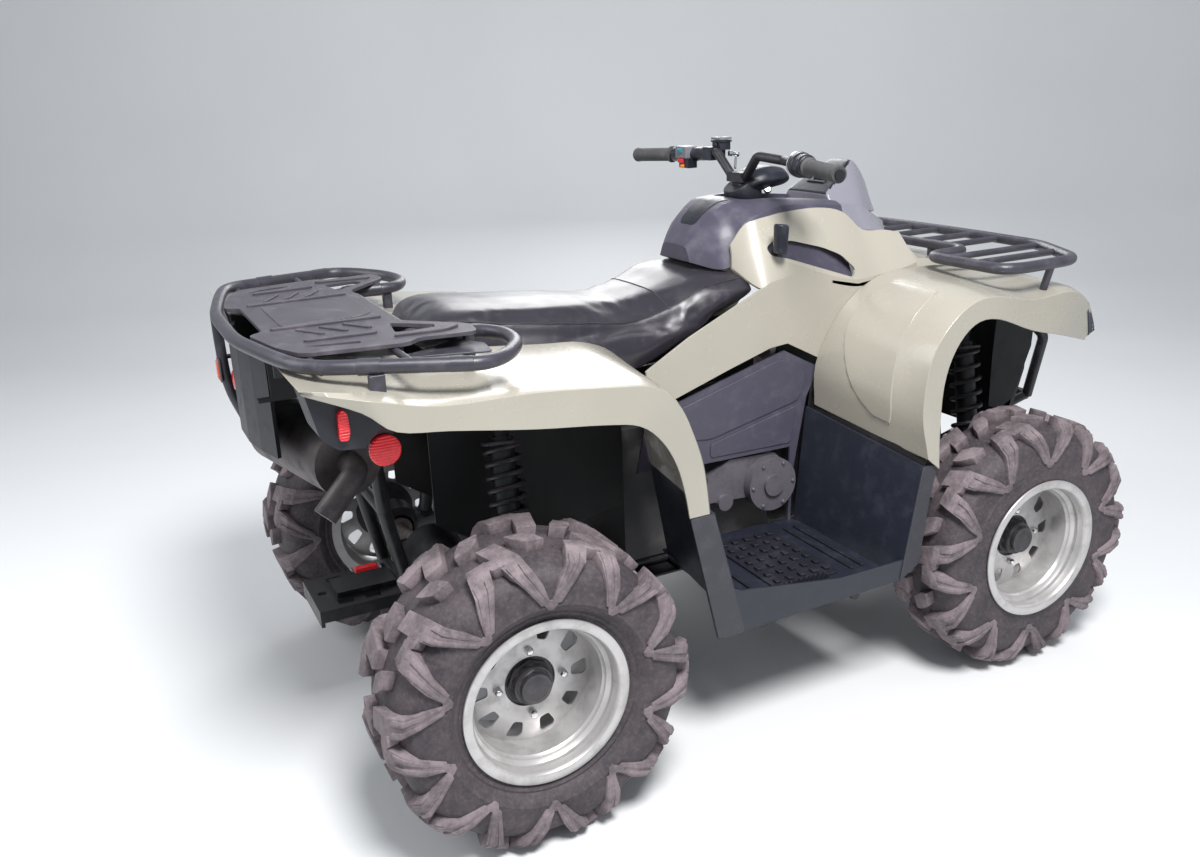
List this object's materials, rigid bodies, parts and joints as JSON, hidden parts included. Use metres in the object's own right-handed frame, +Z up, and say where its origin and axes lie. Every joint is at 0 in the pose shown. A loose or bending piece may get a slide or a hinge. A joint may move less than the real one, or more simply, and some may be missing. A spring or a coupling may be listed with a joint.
{
  "type": "quad bike",
  "caption": "Utility quad bike with tan fenders, black seat, tubular racks front and rear, black footwells and knobbly tyres on silver steel wheels.",
  "frame": {"origin": "on the ground under the middle of the bounding box, which is also the middle of the wheelbase", "axes": "+X forward, +Y to the rider's left, +Z up"},
  "size_m": [2.13, 1.256, 1.268],
  "materials": {
    "black_frame": "satin black paint",
    "body_black": "grained black moulded plastic",
    "body_tan": "glossy sand-coloured moulded plastic",
    "console_grey": "dark grey moulded plastic",
    "cover_metal": "grey cast cover",
    "cowl_grey": "light grey moulded plastic",
    "engine_metal": "dark cast metal",
    "grip_rubber": "black rubber",
    "lamp_clear": "clear lens",
    "lamp_red": "red lens",
    "rack_grey": "dark grey powder coat",
    "rim_silver": "silver painted wheel",
    "seat_vinyl": "black vinyl with a soft shine",
    "silencer_metal": "heat-darkened steel",
    "steel": "bare steel",
    "tyre_rubber": "dusty black rubber"
  },
  "bodies": {
    "chassis": {"console": "console_grey", "dash_cowl": "cowl_grey", "engine": "engine_metal", "engine_covers": "cover_metal", "footwell_left": "body_black", "footwell_right": "body_black", "frame": "black_frame", "front_arms": "black_frame", "front_bumper": "black_frame", "front_differential": "black_frame", "front_fascia": "body_black", "front_fender_left": "body_tan", "front_fender_right": "body_tan", "front_rack": "rack_grey", "front_shocks": "black_frame", "gear_lever": "body_black", "half_shafts": "steel", "headlamps": "lamp_clear", "hitch": "black_frame", "hood": "body_tan", "inner_panels": "body_black", "rear_arms": "black_frame", "rear_fascia": "body_black", "rear_fender_left": "body_tan", "rear_fender_right": "body_tan", "rear_final_drive": "black_frame", "rear_rack": "rack_grey", "rear_rack_deck": "body_black", "rear_shocks": "black_frame", "rear_tray": "black_frame", "seat": "seat_vinyl", "side_panel_left": "body_tan", "side_panel_right": "body_tan", "silencer": "silencer_metal", "skid_plate": "body_black", "splash_panels": "body_black", "tail_corners": "body_black", "tail_lamps": "lamp_red"},
    "handlebar_set": {"controls": "body_black", "grips": "grip_rubber", "handlebar": "black_frame", "handlebar_pod": "body_black", "steering_column": "black_frame"},
    "knuckle_right": {"knuckle_right": "black_frame"},
    "tie_rod_right": {"tie_rod_right": "steel"},
    "knuckle_left": {"knuckle_left": "black_frame"},
    "tie_rod_left": {"tie_rod_left": "steel"},
    "wheel_front_right": {"tyre_front_right": "tyre_rubber", "rim_front_right": "rim_silver", "hub_front_right": "steel"},
    "wheel_front_left": {"tyre_front_left": "tyre_rubber", "rim_front_left": "rim_silver", "hub_front_left": "steel"},
    "wheel_rear_right": {"tyre_rear_right": "tyre_rubber", "rim_rear_right": "rim_silver", "hub_rear_right": "steel"},
    "wheel_rear_left": {"tyre_rear_left": "tyre_rubber", "rim_rear_left": "rim_silver", "hub_rear_left": "steel"}
  },
  "joints": [
    {"name": "steering", "type": "hinge", "parent": "chassis", "child": "handlebar_set", "pos_m": [0.175, 0, 1.16], "axis": [-0.4881, 0, 0.8728], "range_deg": [-38, 38]},
    {"name": "kingpin_right", "type": "hinge", "parent": "chassis", "child": "knuckle_right", "pos_m": [0.6475, -0.41, 0.312], "axis": [0, 0, 1], "range_deg": [-31.92, 31.92]},
    {"name": "tie_rod_eye_right", "type": "hinge", "parent": "knuckle_right", "child": "tie_rod_right", "pos_m": [0.5575, -0.41, 0.345], "axis": [0, 0, 1], "range_deg": [-33.78, 33.78]},
    {"name": "kingpin_left", "type": "hinge", "parent": "chassis", "child": "knuckle_left", "pos_m": [0.6475, 0.41, 0.312], "axis": [0, 0, 1], "range_deg": [-31.92, 31.92]},
    {"name": "tie_rod_eye_left", "type": "hinge", "parent": "knuckle_left", "child": "tie_rod_left", "pos_m": [0.5575, 0.41, 0.345], "axis": [0, 0, 1], "range_deg": [-33.78, 33.78]},
    {"name": "wheel_spin_front_right", "type": "hinge", "parent": "knuckle_right", "child": "wheel_front_right", "pos_m": [0.6475, -0.485, 0.312], "axis": [0, 1, 0], "continuous": true},
    {"name": "wheel_spin_front_left", "type": "hinge", "parent": "knuckle_left", "child": "wheel_front_left", "pos_m": [0.6475, 0.485, 0.312], "axis": [0, 1, 0], "continuous": true},
    {"name": "wheel_spin_rear_right", "type": "hinge", "parent": "chassis", "child": "wheel_rear_right", "pos_m": [-0.6475, -0.498, 0.312], "axis": [0, 1, 0], "continuous": true},
    {"name": "wheel_spin_rear_left", "type": "hinge", "parent": "chassis", "child": "wheel_rear_left", "pos_m": [-0.6475, 0.498, 0.312], "axis": [0, 1, 0], "continuous": true}
  ],
  "couplings": [
    {"joint": "kingpin_right", "follows": "steering", "ratio": 0.84},
    {"joint": "tie_rod_eye_right", "follows": "steering", "ratio": -0.889},
    {"joint": "kingpin_left", "follows": "steering", "ratio": 0.84},
    {"joint": "tie_rod_eye_left", "follows": "steering", "ratio": -0.889}
  ]
}
